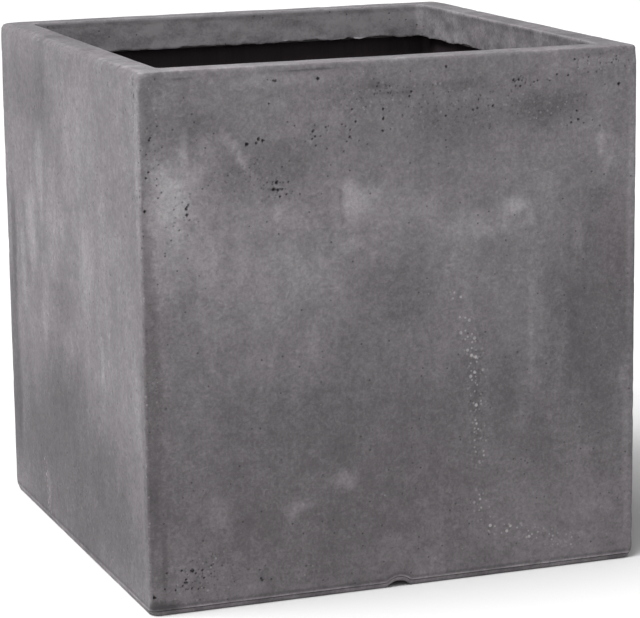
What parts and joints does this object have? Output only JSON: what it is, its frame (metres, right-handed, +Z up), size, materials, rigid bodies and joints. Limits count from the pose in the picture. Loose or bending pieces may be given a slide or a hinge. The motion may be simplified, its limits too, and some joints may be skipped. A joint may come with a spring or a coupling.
{
  "type": "planter box",
  "caption": "Square fibre-cement planter box with a thick rolled-in rim, a black sealed inside, a recessed base with a notched foot and a plugged drain.",
  "frame": {"origin": "on the ground at the centre of the footprint", "axes": "+Z up along the height, the front face with the notch towards -Y, +X to the right as the front is looked at"},
  "size_m": [0.5, 0.5, 0.51],
  "materials": {
    "cement_face": "matte",
    "cement_backing": "matte",
    "glass_mat": "matte",
    "black_seal": "satin",
    "sleeve_plastic": "satin",
    "plug_rubber": "matte"
  },
  "bodies": {
    "planter": {"face_coat": "cement_face", "fibre_backing": "cement_backing", "rim_core": "cement_backing", "foot_ring": "cement_face", "underside_coat": "cement_face", "base_slab": "cement_backing", "mat_front": "glass_mat", "mat_back": "glass_mat", "mat_left": "glass_mat", "mat_right": "glass_mat", "mat_base": "glass_mat", "strip_front_left": "glass_mat", "strip_front_right": "glass_mat", "strip_back_left": "glass_mat", "strip_back_right": "glass_mat", "waterproof_seal": "black_seal", "drain_sleeve": "sleeve_plastic"},
    "plug": {"drain_plug": "plug_rubber"}
  },
  "joints": [
    {"name": "plug_lift", "type": "slide", "parent": "planter", "child": "plug", "axis": [0, 0, 1], "range_m": [0, 0.52]}
  ]
}
